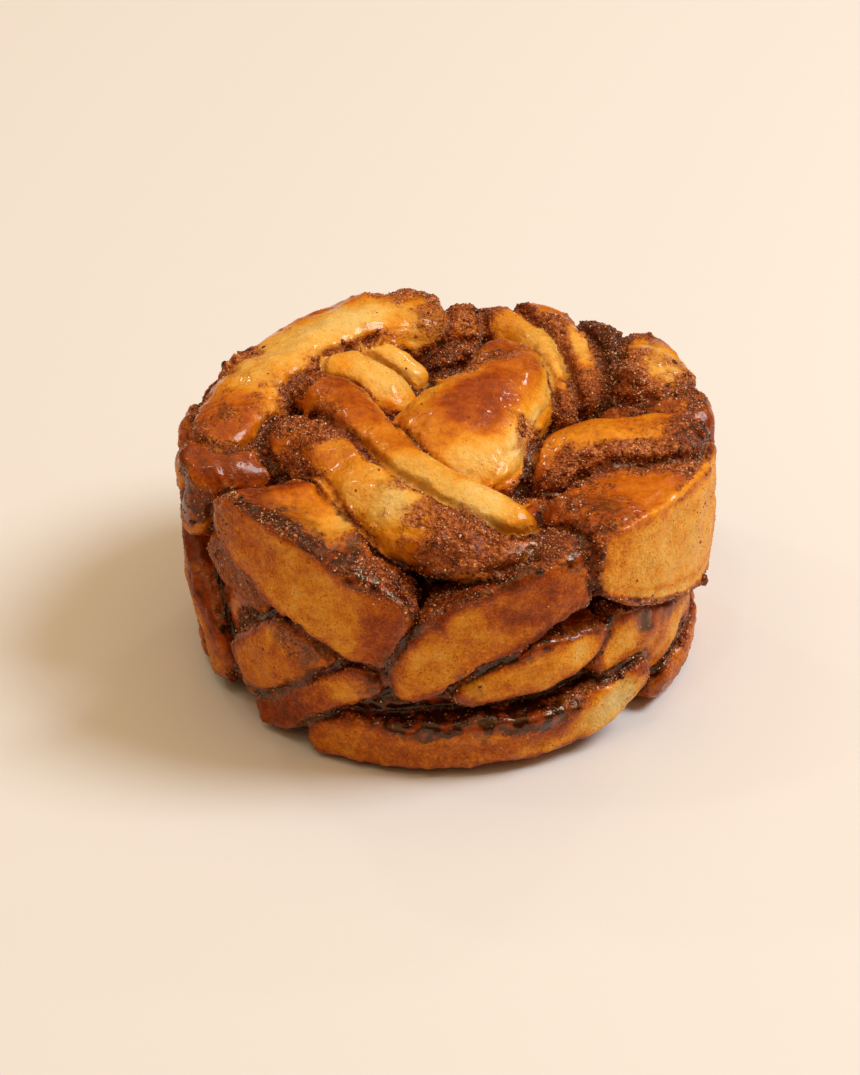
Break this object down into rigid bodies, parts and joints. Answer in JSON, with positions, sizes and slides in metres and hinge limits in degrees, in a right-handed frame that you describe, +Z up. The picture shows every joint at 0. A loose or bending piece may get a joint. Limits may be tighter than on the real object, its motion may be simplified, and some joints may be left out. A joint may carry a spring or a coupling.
{
  "type": "cinnamon bun",
  "caption": "Knotted cinnamon bun baked in a round ring: layered dough ribbons folded over each other on top, pressed flat round the side.",
  "frame": {"origin": "middle of the flat base", "axes": "+Z up through the middle of the bun, -Y towards the side with the crossing band and the two large slabs, +X to the right of that side"},
  "size_m": [0.093, 0.0923, 0.0507],
  "materials": {
    "baked_dough": "egg-washed crust, golden to deep brown, with cinnamon sugar and sticky syrup in the folds"
  },
  "bodies": {
    "root": {"bun": "baked_dough"}
  },
  "joints": []
}
